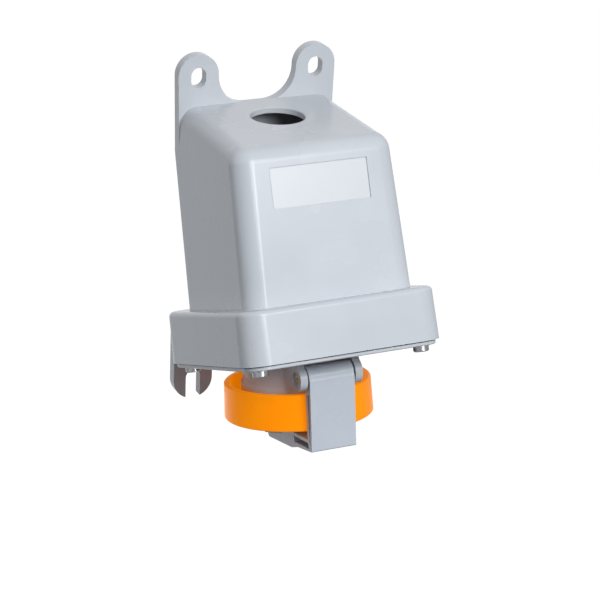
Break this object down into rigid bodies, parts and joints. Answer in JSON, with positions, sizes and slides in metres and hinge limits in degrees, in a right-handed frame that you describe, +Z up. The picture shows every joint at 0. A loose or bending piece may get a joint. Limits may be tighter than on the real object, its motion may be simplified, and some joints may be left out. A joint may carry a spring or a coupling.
{
  "type": "industrial wall socket",
  "caption": "Surface-mounted angled industrial socket: grey moulded hood with top cable entry, spring lid on a hinge below and a yellow bayonet locking ring round the lid.",
  "frame": {"origin": "centre of the rectangle of the four wall fixings, on the wall plane", "axes": "+Y into the wall, so the part stands out along -Y; +Z up, towards the cable entry; +X to the right as seen from the front"},
  "size_m": [0.0996, 0.1169, 0.178],
  "materials": {
    "enclosure": "fine moulded texture, light bluish grey",
    "lid": "fine moulded texture, light bluish grey",
    "ring": "smooth moulded yellow-orange",
    "gasket": "matt black",
    "carrier": "moulded dark grey",
    "contact_brass": "turned",
    "pin_brass": "passivated, greenish gold",
    "spring_steel": "bright wire",
    "screw_steel": "bright stainless"
  },
  "bodies": {
    "enclosure": {"housing": "enclosure", "flange_gasket": "gasket", "flange_plate": "enclosure", "socket_body": "enclosure", "barrel_floor": "enclosure", "terminal_block": "carrier", "carrier_neutral": "carrier", "carrier_earth": "carrier", "carrier_line": "carrier", "neutral_contact": "contact_brass", "earth_contact": "contact_brass", "line_contact": "contact_brass", "neutral_terminal_screw": "screw_steel", "earth_terminal_screw": "screw_steel", "line_terminal_screw": "screw_steel", "carrier_screw_left": "screw_steel", "carrier_screw_right": "screw_steel", "flange_washer_1": "screw_steel", "flange_washer_2": "screw_steel", "flange_washer_3": "screw_steel", "flange_washer_4": "screw_steel", "flange_screw_1": "screw_steel", "flange_screw_2": "screw_steel", "flange_screw_3": "screw_steel", "flange_screw_4": "screw_steel", "hinge_pin": "pin_brass", "hinge_spring": "spring_steel"},
    "lid": {"lid": "lid", "lid_gasket": "gasket"},
    "ring": {"locking_ring": "ring"}
  },
  "joints": [
    {"name": "lid_hinge", "type": "hinge", "parent": "enclosure", "child": "lid", "pos_m": [0, -0.09373, -0.04162], "axis": [-1, 0, 0], "range_deg": [0, 95], "stiffness_Nm_per_rad": 0.02, "springref_deg": -114.59},
    {"name": "ring_turn", "type": "hinge", "parent": "lid", "child": "ring", "pos_m": [0, -0.06375, -0.06507], "axis": [0, -0.2079, -0.9781], "range_deg": [0, 40]}
  ]
}
